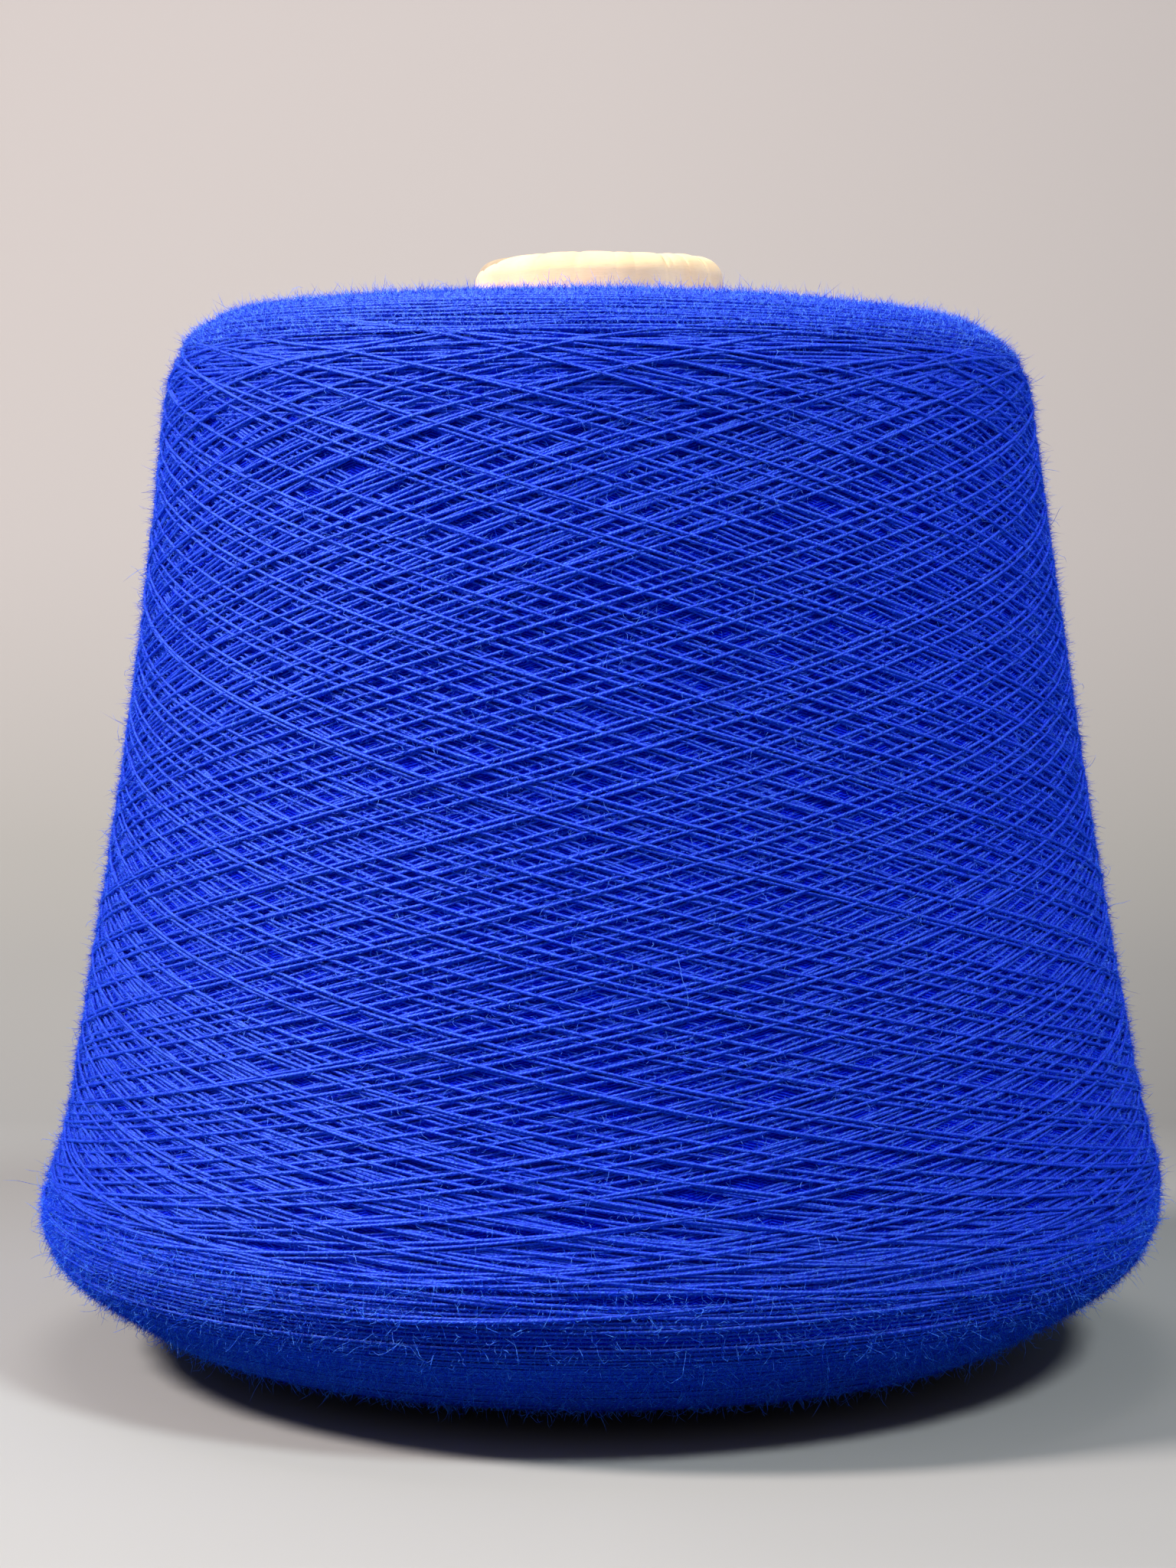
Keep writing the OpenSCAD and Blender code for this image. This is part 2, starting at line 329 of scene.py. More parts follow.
def lay_stroke(start, up, turn, proud):
    """Lays one stroke, from one reversal to the other."""
    count = int(turn * STROKE_R / SAMPLE)
    share = np.linspace(0, 1, count)
    s = np.interp((share if up else 1 - share) * course_turned[-1], course_turned, course_s)
    s = s + rng.uniform(*LOW_SHIFT) * np.exp((course_s[0] - s) / END_REACH)
    s = s + rng.uniform(*HIGH_SHIFT) * np.exp((s - course_s[-1]) / END_REACH)
    s = s + wander(count, *STROKE_SWAY)
    azimuth = start + share * turn
    strokes.append((azimuth, s, bed.lay(azimuth, s, proud)))


def lay_strokes(azimuth, pairs, fronts, front_share, pitch, jitter, proud=Bed.PROUD):
    """Lays strokes up and down in turn. Each pair ends front_share fronts further round,
    and after a round of all fronts the yarn lies pitch further along the flank. Returns
    the azimuth at which the next pair starts."""
    pair_turn = 2 * math.pi * (2 + (front_share + pitch / RISE_PER_TURN) / fronts)
    for _ in range(pairs):
        turn = pair_turn + rng.normal(0, TURN_SPREAD)
        lay_stroke(azimuth + rng.normal(0, jitter), True, turn / 2, proud)
        lay_stroke(azimuth + turn / 2 + rng.normal(0, jitter), False, turn / 2, proud)
        azimuth += turn
    return azimuth


CUT_SPREAD = 0.4  # how far off a full turn each cut may lie, in turns
LAP = 0.1  # by how much of a radian each length runs past the next one's start
ANY_PHASE = 6.3  # phases are drawn from 0 to this, about a full turn
WAVE_DRIFT = 0.12  # how far the waves of a level turn shift in a turn
LEVEL_SWAY = (160, 0.12)  # samples between its bends, and its size
END_MARGIN = 0.5  # least distance from the outline's ends


def lay_level_turns(low, high, pitch, sway):
    """Threads that lie nearly level, side by side, as the strokes' ends do where they
    turn back: a spiral from low to high, cut into lengths of about a turn."""
    turns = int((high - low) / pitch)
    cuts = 2 * math.pi * (np.arange(turns + 1) + rng.uniform(-CUT_SPREAD, CUT_SPREAD, turns + 1))
    waves = [
        (k, rng.normal(0, sway / k), rng.uniform(0, ANY_PHASE), rng.normal(0, WAVE_DRIFT))
        for k in (1, 2, 3)
    ]
    for start, end in zip(cuts[:-1], cuts[1:]):
        end += LAP
        s = low + pitch * start / (2 * math.pi)
        count = int((end - start) * np.interp(s, outline.s, outline.r) / SAMPLE) + 12
        angle = np.linspace(start, end, count)
        path = low + pitch * angle / (2 * math.pi) + wander(count, *LEVEL_SWAY)
        for k, size, phase, drift in waves:
            path += size * np.sin(k * angle + phase + drift * angle / (2 * math.pi))
        path = np.clip(path, END_MARGIN, outline.length - END_MARGIN)
        level_turns.append((angle, path, bed.lay(angle, path, Bed.PROUD)))


def lay_ends(below, low_pitch, low_sway, above, high_pitch, high_sway):
    """Level turns under one height and over another, given in z."""
    lay_level_turns(0, outline.where_z(below), low_pitch, low_sway)
    lay_level_turns(outline.where_z(above), outline.length, high_pitch, high_sway)


# From the inside out: level turns at both ends, strokes over them, and so on.
lay_ends(below=30, low_pitch=0.66, low_sway=1.0, above=151, high_pitch=0.66, high_sway=1.0)
lay_strokes(1.0, pairs=150, fronts=1, front_share=0, pitch=1.0, jitter=0.030)
lay_ends(below=25, low_pitch=0.64, low_sway=0.8, above=154, high_pitch=0.64, high_sway=0.8)
lay_strokes(4.0, pairs=210, fronts=1, front_share=0, pitch=0.90, jitter=0.012)
lay_ends(below=28, low_pitch=1.30, low_sway=1.2, above=144, high_pitch=0.90, high_sway=0.9)
OUTER_ROUND = {"pairs": 31, "fronts": 31, "front_share": 22, "pitch": 1.1, "jitter": 0.012}
round_end = lay_strokes(2.0, proud=0.30, **OUTER_ROUND)
lay_ends(below=23, low_pitch=0.70, low_sway=0.8, above=151, high_pitch=0.72, high_sway=0.5)
lay_strokes(round_end, proud=0.40, **OUTER_ROUND)
lay_ends(below=18, low_pitch=0.80, low_sway=0.6, above=155, high_pitch=0.90, high_sway=0.5)
bed.finish()


# ---- meshes --------------------------------------------------------------------------
PRESSED = 0.60  # how much of their depth the layers keep, pressed into each other
# How much fuller than the outline the package is to the right and to the left, by height
FULL_Z = (0, 10, 20, 30, 38, 60, 110, 150)
FULL_RIGHT = (-1.2, -0.8, 0.6, 2.2, 1.6, 1.5, 1.1, 0.0)
FULL_LEFT = (2.0, 1.4, 0.8, 0.0, -0.8, -0.1, 0.0, 0.3)
SUNK_SHOULDER = 1.6  # how much lower the shoulder lies on the right
SUNK_Z, SUNK_SPAN = 148, 10  # from this height up, and fully after this much more


def fuller(azimuth, z):
    """The wound package is not quite round: how much further out it stands at a place."""
    side = np.cos(azimuth)
    right = np.interp(z, FULL_Z, FULL_RIGHT) * np.clip(side, 0, 1) ** 2
    return right + np.interp(z, FULL_Z, FULL_LEFT) * np.clip(-side, 0, 1) ** 2


def sunk(azimuth, z):
    """How much lower than the outline the package's shoulder lies at a place."""
    share = np.clip((z - SUNK_Z) / SUNK_SPAN, 0, 1)
    return SUNK_SHOULDER * np.clip(np.cos(azimuth), 0, 1) ** 2 * share


def place(azimuth, s, height):
    """Points in space at a height over the bed's ground, with the outward normal there."""
    r, z, out_r, out_z = outline.at(s)
    lift = (height - bed.at(bed.top, s)) * PRESSED
    ring = r + lift * out_r + fuller(azimuth, z)
    level = z + lift * out_z - sunk(azimuth, z)
    points = np.stack([ring * np.cos(azimuth), ring * np.sin(azimuth), level], -1)
    normals = np.stack([out_r * np.cos(azimuth), out_r * np.sin(azimuth), out_z], -1)
    return points, normals


def make_mesh(name, vertices, faces, uvs):
    """A mesh object from millimetre points and faces that all have as many corners."""
    mesh = bpy.data.meshes.new(name)
    corners = faces.shape[1]
    mesh.vertices.add(len(vertices))
    mesh.vertices.foreach_set("co", (vertices * MM).astype(np.float32).ravel())
    mesh.loops.add(faces.size)
    mesh.loops.foreach_set("vertex_index", faces.astype(np.int32).ravel())
    mesh.polygons.add(len(faces))
    mesh.polygons.foreach_set("loop_start", np.arange(0, faces.size, corners, dtype=np.int32))
    for layer, coordinates in uvs.items():
        mesh.uv_layers.new(name=layer)
        mesh.uv_layers[layer].uv.foreach_set("vector", coordinates.astype(np.float32).ravel())
    mesh.update(calc_edges=True)
    mesh.polygons.foreach_set("use_smooth", np.ones(len(faces), bool))
    piece = bpy.data.objects.new(name, mesh)
    bpy.context.scene.collection.objects.link(piece)
    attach(piece, "root")
    return piece


END_TAPER = 0.15  # width of a thread's first and last ring, as a share


def tube(points, normals, width, thickness, sides):
    """Rings of an oval tube along points, drawn in at both ends."""
    way = unit(np.gradient(points, axis=0))
    across = unit(np.cross(way, normals))
    up = np.cross(across, way)
    taper = np.ones(len(points))
    taper[[0, -1]] = END_TAPER
    angle = 2 * math.pi * np.arange(sides) / sides
    a = (np.cos(angle)[None, :] * (thickness / 2 * taper)[:, None])[..., None]
    b = (np.sin(angle)[None, :] * (width / 2 * taper)[:, None])[..., None]
    return points[:, None] + a * up[:, None] + b * across[:, None]


def tube_faces(rings, sides, first):
    """Quads between the rings of a tube with open ends."""
    i = np.arange(rings - 1)[:, None] * sides
    k = np.arange(sides)[None]
    after = (k + 1) % sides
    quads = np.stack([i + k, i + after, i + sides + after, i + sides + k], -1)
    return quads.reshape(-1, 4) + first


def closed_faces(rings, columns):
    """Quads between rings of points, with the last ring joined to the first."""
    i = np.arange(rings)[:, None] * columns
    following = (np.arange(rings)[:, None] + 1) % rings * columns
    k = np.arange(columns)[None]
    after = (k + 1) % columns
    return np.stack([i + k, i + after, following + after, following + k], -1).reshape(-1, 4)


ATLAS_START, ATLAS_SPAN = 0.001, 0.998  # of the atlas that a thread's length takes
ROW_START, ROW_SPAN = 0.1, 0.8  # of its row that a thread's girth takes


def tube_uvs(rings, sides, length, row, rows):
    """The strand's own map, in millimetres and turns, and a place of its own in an atlas."""
    i = np.arange(rings - 1)[:, None, None]
    k = np.arange(sides)[None, :, None]
    along = np.broadcast_to(i + np.array([0, 0, 1, 1]), (rings - 1, sides, 4)) / (rings - 1)
    around = np.broadcast_to(k + np.array([0, 1, 1, 0]), (rings - 1, sides, 4)) / sides
    strand = np.stack([along * length, around], -1)
    girth = (row + ROW_START + ROW_SPAN * around) / rows
    atlas = np.stack([along * ATLAS_SPAN + ATLAS_START, girth], -1)
    return strand.reshape(-1, 2), atlas.reshape(-1, 2)


FEWEST_RINGS = 8
SWELL = (3, 0.10)  # how often and how much a thread's width changes
OWN_PLACE = 13.7  # distance between two threads' places in the yarn's pattern


def make_threads(name, chosen, step, sides):
    """One piece of many threads: a tube for each, with a ring every step."""
    vertices, faces, strands, atlases = [], [], [], []
    first = 0
    for row, (azimuth, s, height) in enumerate(chosen):
        rings = max(int(len(azimuth) * SAMPLE / step), FEWEST_RINGS)
        pick = np.linspace(0, len(azimuth) - 1, rings).round().astype(int)
        points, normals = place(azimuth[pick], s[pick], height[pick])
        swell = 1 + wander(rings, *SWELL)
        rope = tube(points, normals, THREAD_WIDTH * swell, THREAD_THICKNESS * swell, sides)
        vertices.append(rope.reshape(-1, 3))
        faces.append(tube_faces(rings, sides, first))
        strand, atlas = tube_uvs(rings, sides, rings * step, row, len(chosen))
        strands.append(strand + [row * OWN_PLACE, 0])
        atlases.append(atlas)
        first += rings * sides
    uvs = {"strand": np.concatenate(strands), "OFBake": np.concatenate(atlases)}
    return make_mesh(name, np.concatenate(vertices), np.concatenate(faces), uvs)


# ---- materials -------------------------------------------------------------------------
class Nodes:
    """Short names for building a material out of nodes."""

    def __init__(self, name):
        self.material = bpy.data.materials.new(name)
        self.material.use_nodes = True
        self.tree = self.material.node_tree
        self.shader = self.tree.nodes["Principled BSDF"]

    def add(self, kind, **settings):
        """A node, with these values on its sockets or else as its settings."""
        node = self.tree.nodes.new("ShaderNode" + kind)
        for key, value in settings.items():
            if key in node.inputs:
                node.inputs[key].default_value = value
            else:
                setattr(node, key, value)
        return node

    def link(self, output, target, name):
        self.tree.links.new(output, target.inputs[name])

    def paint(self, colour):
        """Gives the surface this colour."""
        self.link(colour, self.shader, "Base Color")

    def noise(self, vector, scale, detail, roughness=0.5):
        node = self.add("TexNoise", Scale=scale, Detail=detail, Roughness=roughness)
        self.link(vector, node, "Vector")
        return node.outputs["Fac"]

    def mapping(self, vector, **settings):
        """A vector turned, moved or stretched."""
        node = self.add("Mapping", **settings)
        self.link(vector, node, "Vector")
        return node.outputs["Vector"]

    def wave(self, vector, **settings):
        node = self.add("TexWave", **settings)
        self.link(vector, node, "Vector")
        return node.outputs["Fac"]

    def part(self, vector, axis):
        """One coordinate of a vector."""
        node = self.add("SeparateXYZ")
        self.link(vector, node, "Vector")
        return node.outputs[axis]

    def share(self, value, low=0.0, high=1.0):
        """How far a value lies from one number to another, from 0 to 1."""
        node = self.add("MapRange", **{"From Min": low, "From Max": high})
        self.link(value, node, "Value")
        return node.outputs["Result"]

    def uv(self, layer):
        return self.add("UVMap", uv_map=layer).outputs["UV"]

    def place(self):
        """The place on the object, in metres."""
        return self.add("TexCoord").outputs["Object"]

    def ramp(self, value, stops):
        """Colours between stops, each a position and a colour."""
        node = self.add("ValToRGB")
        elements = node.color_ramp.elements
        while len(elements) < len(stops):
            elements.new(0.5)
        for element, (position, colour) in zip(elements, stops):
            element.position = position
            element.color = (*colour, 1)
        self.link(value, node, "Fac")
        return node.outputs["Color"]

    FACTOR_IN, COLOUR_A_IN, COLOUR_B_IN = 0, 6, 7  # sockets of the Mix node
    COLOUR_OUT = 2

    def mix(self, factor, a, b, blend="MIX"):
        """Two colours mixed. Each value is a socket, or a number or colour of its own."""
        node = self.add("Mix", data_type="RGBA", blend_type=blend)
        for value, index in ((factor, self.FACTOR_IN), (a, self.COLOUR_A_IN), (b, self.COLOUR_B_IN)):
            if isinstance(value, bpy.types.NodeSocket):
                self.tree.links.new(value, node.inputs[index])
            elif index == self.FACTOR_IN:
                node.inputs[index].default_value = value
            else:
                node.inputs[index].default_value = (*value, 1)
        return node.outputs[self.COLOUR_OUT]

    def multiply(self, a, b):
        return self.mix(1.0, a, b, "MULTIPLY")

    def math(self, operation, *values):
        """A sum of this kind, of sockets or numbers."""
        node = self.add("Math", operation=operation)
        for socket, value in zip(node.inputs, values):
            if isinstance(value, bpy.types.NodeSocket):
                self.tree.links.new(value, socket)
            else:
                socket.default_value = value
        return node.outputs[0]

    def bump(self, height, strength, distance):
        node = self.add("Bump", Strength=strength, Distance=distance)
        self.link(height, node, "Height")
        self.link(node.outputs["Normal"], self.shader, "Normal")

    def set(self, **values):
        """Values that are the same all over the surface."""
        for key, value in values.items():
            self.shader.inputs[key.replace("_", " ")].default_value = value


WHITE = (1.0, 1.0, 1.0)
BLACK = (0.0, 0.0, 0.0)
# The yarn's tones along its rope pattern, whose heights also make its bump: the pale end is painted
# highlight on the raised plies, the dark end painted shade in the grooves, over the fibres' own uneven
# tone.
YARN_DARK_GROOVE_SHADE = (0.0001, 0.003, 0.74)
YARN_MID = (0.0005, 0.025, 0.90)
YARN_PALE_CREST_HIGHLIGHT = (0.11, 0.27, 0.86)
YARN_GLINT = (0.18, 0.37, 1.0, 1.0)  # tint of the light that the fibres' surface sends back
TWIST = 0.65  # length along the thread in which a ply passes, in mm
WAVE_PER_UNIT = 2 * math.pi / 10  # scale at which Blender's wave repeats once per unit
THREAD_TONES = ((0.38, YARN_DARK_GROOVE_SHADE), (0.52, YARN_MID), (0.68, YARN_PALE_CREST_HIGHLIGHT))
CROWN_SHADE_TONES = ((0.38, (0.01, 0.04, 0.74)), (0.82, WHITE))  # painted shade, from a thread's crown to its sides
PATCH_TONES = ((0.36, (0.55, 0.70, 0.84)), (0.60, WHITE))
# Painted shade: the foot is darker and bluer, and so is the top; tones by height, as a share of the
# cone's
HEIGHT_SHADE_TONES = (
    (0.06, (0.34, 0.54, 0.62)),
    (0.20, (0.46, 0.66, 0.86)),
    (0.80, WHITE),
    (0.91, (0.62, 0.71, 0.88)),
)
PLY_SHARE, HAIR_SHARE = 0.20, 0.80


def yarn_material():
    """Spun yarn: two plies that wind round each other, hairy, with painted highlight on the raised plies
    and painted shade in their grooves and on each thread's sides.
    """
    n = Nodes("yarn_thread")
    strand = n.uv("strand")
    turned = n.mapping(strand, Scale=(1 / TWIST, 2.0, 1.0))
    waves = {"Scale": WAVE_PER_UNIT, "Distortion": 6.0, "Detail": 3.0, "Detail Scale": 1.6}
    plies = n.wave(turned, bands_direction="DIAGONAL", **waves)
    hairs = n.noise(turned, 1.5, 5.0, 0.7)
    rope = n.math("MULTIPLY_ADD", plies, PLY_SHARE, n.math("MULTIPLY", hairs, HAIR_SHARE))
    crown = n.math("ABSOLUTE", n.math("MULTIPLY_ADD", n.part(strand, "Y"), 2.0, -1.0))
    # Painted highlight and groove shade from the rope pattern, times painted shade on the thread's sides
    # away from its crown.
    colour = n.multiply(n.ramp(rope, THREAD_TONES), n.ramp(crown, CROWN_SHADE_TONES))
    colour = n.multiply(colour, n.ramp(n.noise(strand, 0.05, 2.0), PATCH_TONES))
    # Painted shade by height: darker towards the foot and the top.
    height = n.share(n.part(n.place(), "Z"), 0.0, CONE_H * MM)
    n.paint(n.multiply(colour, n.ramp(height, HEIGHT_SHADE_TONES)))
    n.bump(rope, 1.0, 0.16 * MM)
    n.set(Roughness=0.50, IOR=2.1, Specular_IOR_Level=0.8, Specular_Tint=YARN_GLINT)
    return n.material


thread_material = yarn_material()


DEEP_ANGLE = 15  # of the deep strands to the level, in degrees
DEEP_PITCH = 0.8
# Tones of the deep yarn, painted darker than the threads' as shade between them.
DEEP_SHADE_TONES = ((0.36, (0.0001, 0.001, 0.40)), (0.52, (0.0003, 0.006, 0.62)), (0.70, (0.008, 0.05, 0.88)))
STRAND_SHARE, MATTED_SHARE = 0.42, 0.58


def ground_material():
    """The yarn deep between the outer threads: fine strands of both ways, matted, painted darker than
    the threads as shade.
    """
    n = Nodes("yarn_deep")
    flat = n.uv("strand")
    strands = []
    for degrees, offset in ((DEEP_ANGLE, 0.0), (-DEEP_ANGLE, 40.0)):
        turned = n.mapping(flat, Rotation=(0, 0, math.radians(degrees)), Location=(offset, offset, 0))
        waves = {"Scale": WAVE_PER_UNIT / DEEP_PITCH, "Distortion": 1.0, "Detail": 2.0}
        strands.append(n.wave(turned, bands_direction="Y", **waves))
    patch = n.ramp(n.noise(flat, 0.35, 2.0), ((0.45, BLACK), (0.55, WHITE)))
    lay = n.mix(patch, *strands)
    matted = n.math("MULTIPLY", n.noise(flat, 4.5, 3.0, 0.7), MATTED_SHARE)
    grain = n.math("MULTIPLY_ADD", lay, STRAND_SHARE, matted)
    n.paint(n.ramp(grain, DEEP_SHADE_TONES))
    n.bump(grain, 1.0, 0.3 * MM)
    n.set(Roughness=0.9, Specular_IOR_Level=0.05)
    return n.material


def fuzz_material(name, tones, grain=2600):
    """Loose fibre, in tones that change from one hair to the next."""
    n = Nodes(name)
    n.paint(n.ramp(n.noise(n.place(), grain, 1.0), tones))
    n.set(Roughness=0.5, Specular_IOR_Level=0.12, Specular_Tint=YARN_GLINT)
    return n.material


PAPER_TONES = ((0.3, (0.90, 0.54, 0.275)), (0.55, (0.94, 0.615, 0.33)), (0.8, (0.96, 0.67, 0.385)))
FLECK_TONES = ((0.25, (0.80, 0.80, 0.80)), (0.45, WHITE))
CREASE_SHADE = (0.42, 0.22, 0.11)  # painted shade of the paper in a sharp fold
CREASE_SHADE_SHARE = ((0.30, BLACK), (0.85, (0.9, 0.9, 0.9)))  # how much of it shows, by depth


def paper_material():
    """Cream cone paper: faint fibres and flecks, with painted shade in the creases."""
    n = Nodes("cone_paper")
    where = n.place()
    fine = n.noise(n.mapping(where, Scale=(1, 1, 6)), 700, 5.0, 0.6)
    colour = n.ramp(n.noise(where, 140, 4.0), PAPER_TONES)
    colour = n.mix(0.5, colour, n.multiply(colour, n.ramp(fine, FLECK_TONES)))
    # Painted shade in the creases, by the folds' depth.
    creased = n.ramp(n.part(n.uv("crease"), "X"), CREASE_SHADE_SHARE)
    n.paint(n.mix(creased, colour, CREASE_SHADE))
    n.bump(fine, 0.25, 0.1 * MM)
    n.set(Roughness=0.7, Specular_IOR_Level=0.3, Sheen_Weight=0.1)
    return n.material


BOARD_TONES = ((0.3, (0.30, 0.21, 0.13)), (0.7, (0.44, 0.33, 0.22)))


def board_material():
    """Grey-brown rolled board, mottled."""
    n = Nodes("cone_board")
    where = n.place()
    n.paint(n.ramp(n.noise(where, 260, 5.0, 0.65), BOARD_TONES))
    n.bump(n.noise(where, 900, 4.0), 0.3, 0.15 * MM)
    n.set(Roughness=0.85, Specular_IOR_Level=0.25)
    return n.material


# ---- pieces: the threads -----------------------------------------------------------------
PIECE_TRIANGLES = 186000  # a piece is closed once it has this many
HIDDEN_DEPTH = 1.4  # threads this far under the mean surface never show
OUTER_STROKES, MIDDLE_STROKES = 190, 220
MIDDLE_S = outline.where_z(80)  # between the level turns at the foot and those at the top


def make_thread_pieces(name, chosen, step, sides):
    """Pieces of threads, each under the limit on triangles."""
    made, group = [], []
    triangles = 0
    for index, thread in enumerate(chosen):
        group.append(thread)
        triangles += 2 * sides * len(thread[0]) * SAMPLE / step
        if triangles > PIECE_TRIANGLES or index == len(chosen) - 1:
            piece = make_threads(f"{name}_{len(made) + 1}", group, step, sides)
            piece.data.materials.append(thread_material)
            made.append(piece)
            group = []
            triangles = 0
    return made


def buried(thread):
    """How far a thread lies under the mean surface, over its whole length."""
    _, s, height = thread
    return (bed.at(bed.level, s) - height).mean()


def is_high(thread):
    return thread[1].mean() > MIDDLE_S


shown_strokes = [thread for thread in strokes if buried(thread) < HIDDEN_DEPTH]
shown_turns = [thread for thread in level_turns if buried(thread) < HIDDEN_DEPTH]
high_turns = [thread for thread in shown_turns if is_high(thread)]
low_turns = [thread for thread in shown_turns if not is_high(thread)]
inner_count = len(shown_strokes) - OUTER_STROKES - MIDDLE_STROKES
inner_strokes = shown_strokes[:inner_count]
middle_strokes = shown_strokes[inner_count:-OUTER_STROKES]
outer_strokes = shown_strokes[-OUTER_STROKES:]
outer = make_thread_pieces("outer_strokes", outer_strokes, step=2.3, sides=5)
make_thread_pieces("middle_strokes", middle_strokes, step=2.7, sides=4)
make_thread_pieces("inner_strokes", inner_strokes, step=3.2, sides=3)
make_thread_pieces("top_turns", high_turns, step=2.8, sides=4)
make_thread_pieces("under_turns", low_turns, step=2.8, sides=4)
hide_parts("outer_turns")


GROUND_DEPTH = 0.66  # of the plain yarn surface, under the mean of the threads
GROUND_COLUMNS = 300
GROUND_STEP = 1.2
CLOSING_RINGS = 12  # against the cone
CLOSING_V = -5.0  # their place in the yarn's pattern


def make_ground():
    """The yarn under the outer threads, a little below them, closed against the cone."""
    s = np.concatenate([np.arange(0, outline.length, GROUND_STEP), [outline.length]])
    azimuth = np.linspace(0, 2 * math.pi, GROUND_COLUMNS, endpoint=False)
    grid_a, grid_s = np.meshgrid(azimuth, s, indexing="xy")
    column, row = bed.cells(grid_a, grid_s)
    depth = np.minimum(bed.at(bed.level, grid_s), bed.local[column, row]) - GROUND_DEPTH
    depth = np.minimum(depth, bed.at(bed.low, grid_s))
    points, _ = place(grid_a.ravel(), grid_s.ravel(), depth.ravel())
    points = points.reshape(len(s), GROUND_COLUMNS, 3)
    inner = []
    for z in np.linspace(points[-1, 0, 2], points[0, 0, 2], CLOSING_RINGS):
        r = cone_r(z) + BORE_GAP
        level = np.full(GROUND_COLUMNS, z)
        inner.append(np.stack([r * np.cos(azimuth), r * np.sin(azimuth), level], -1))
    rings = np.concatenate([points, np.array(inner)])
    faces = closed_faces(len(rings), GROUND_COLUMNS)
    flat = np.stack([grid_a * YARN_R, grid_s], -1)
    closing_a = np.broadcast_to(azimuth * YARN_R, (CLOSING_RINGS, GROUND_COLUMNS))
    closing = np.stack([closing_a, np.full(closing_a.shape, CLOSING_V)], -1)
    flat = np.concatenate([flat, closing]).reshape(-1, 2)[faces.ravel()].reshape(-1, 4, 2)
    flat[:, [1, 2], 0] = flat[:, [0, 3], 0] + 2 * math.pi * YARN_R / GROUND_COLUMNS
    piece = make_mesh("yarn_deep", rings.reshape(-1, 3), faces, {"strand": flat.reshape(-1, 2)})
    piece.data.materials.append(ground_material())
    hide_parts("yarn_core")


make_ground()


# ---- pieces: loose fibres ------------------------------------------------------------------
FIBRE_D = 0.08  # thickness at the foot
NAP_D = 0.10  # of the nap over the shoulder and at the bulge, at the foot
THIN_END = 0.7  # thickness of the last ring, as a share
FLOOR_GAP = 0.4  # the least height of a fibre over the surface the package stands on
ROOT_DEPTH = (0.05, 0.30)  # how deep in the threads the fibres start
LENGTH_SPREAD = 0.4  # of the logarithm of a fibre's length
CURL = 2.6  # how far a fibre bends over its length
CURL_UP = 0.8  # how much the bends keep to the surface
CURL_SPREAD = 0.25  # chance part of each bend


def hair_faces(segments):
    """Triangles of one hair: a three-sided tube of some rings, and a pointed tip."""
    faces = []
    for ring in range(segments - 1):
        for side in range(3):
            a, b = 3 * ring + side, 3 * ring + (side + 1) % 3
            faces += [(a, b, b + 3), (a, b + 3, a + 3)]
    last, tip = 3 * (segments - 1), 3 * segments
    faces += [(last + side, last + (side + 1) % 3, tip) for side in range(3)]
    return np.array(faces)


def hair_map(count, segments):
    """A small cell of the atlas for each hair."""
    cells = math.ceil(math.sqrt(count))
    corner = np.stack([np.arange(count) % cells, np.arange(count) // cells], -1)
    own = []
    for ring in range(segments):
        own += [(0.2 + 0.3 * side, 0.1 + 0.8 * ring / segments) for side in range(3)]
    own.append((0.5, 0.9))
    return (corner[:, None] + np.array(own)[None]) / cells


def make_fuzz(name, count, where, length, lift, segments, material, thick=FIBRE_D):
    """Fine fibres that stand out of the threads, each a thin hair. The larger lift is, the
    more upright they stand."""
    azimuth = rng.uniform(0, 2 * math.pi, count)
    s = outline.spread(*where, count)
    column, row = bed.cells(azimuth, s)
    points, normals = place(azimuth, s, bed.height[column, row] - rng.uniform(*ROOT_DEPTH, count))
    turned = np.stack([-np.sin(azimuth), np.cos(azimuth), np.zeros(count)], -1)
    upward = np.cross(turned, normals)
    heading = rng.uniform(0, 2 * math.pi, count)
    flat = np.cos(heading)[:, None] * turned + np.sin(heading)[:, None] * upward
    size = length * np.exp(rng.normal(0, LENGTH_SPREAD, count))
    way = unit(flat + normals * np.abs(rng.normal(0, lift, count))[:, None])
    curl = unit(rng.normal(0, 1, (count, 3)) + CURL_UP * normals)
    bend = rng.normal(0, CURL / segments, count)
    course = [points]
    for _ in range(segments):
        turn = np.cross(curl, way) * np.tan(bend)[:, None]
        way = unit(way + turn + rng.normal(0, CURL_SPREAD, (count, 3)))
        course.append(course[-1] + way * (size / segments)[:, None])
    course = np.stack(course, 1)
    course[..., 2] = np.maximum(course[..., 2], FLOOR_GAP)
    way = unit(np.diff(course, axis=1))
    side = unit(np.cross(way, normals[:, None] + 0.01))
    up = np.cross(side, way)
    radius = thick / 2 * np.linspace(1, THIN_END, segments)[None, :, None, None]
    angle = 2 * math.pi * np.arange(3) / 3
    across = np.cos(angle)[:, None] * up[:, :, None] + np.sin(angle)[:, None] * side[:, :, None]
    rings = (course[:, :-1, None] + radius * across).reshape(count, 3 * segments, 3)
    vertices = np.concatenate([rings, course[:, -1:]], 1)
    first = np.arange(count) * (3 * segments + 1)
    faces = (hair_faces(segments)[None] + first[:, None, None]).reshape(-1, 3)
    atlas = hair_map(count, segments).reshape(-1, 2)[faces.ravel()]
    piece = make_mesh(name, vertices.reshape(-1, 3), faces, {"OFBake": atlas})
    piece.data.materials.append(material)


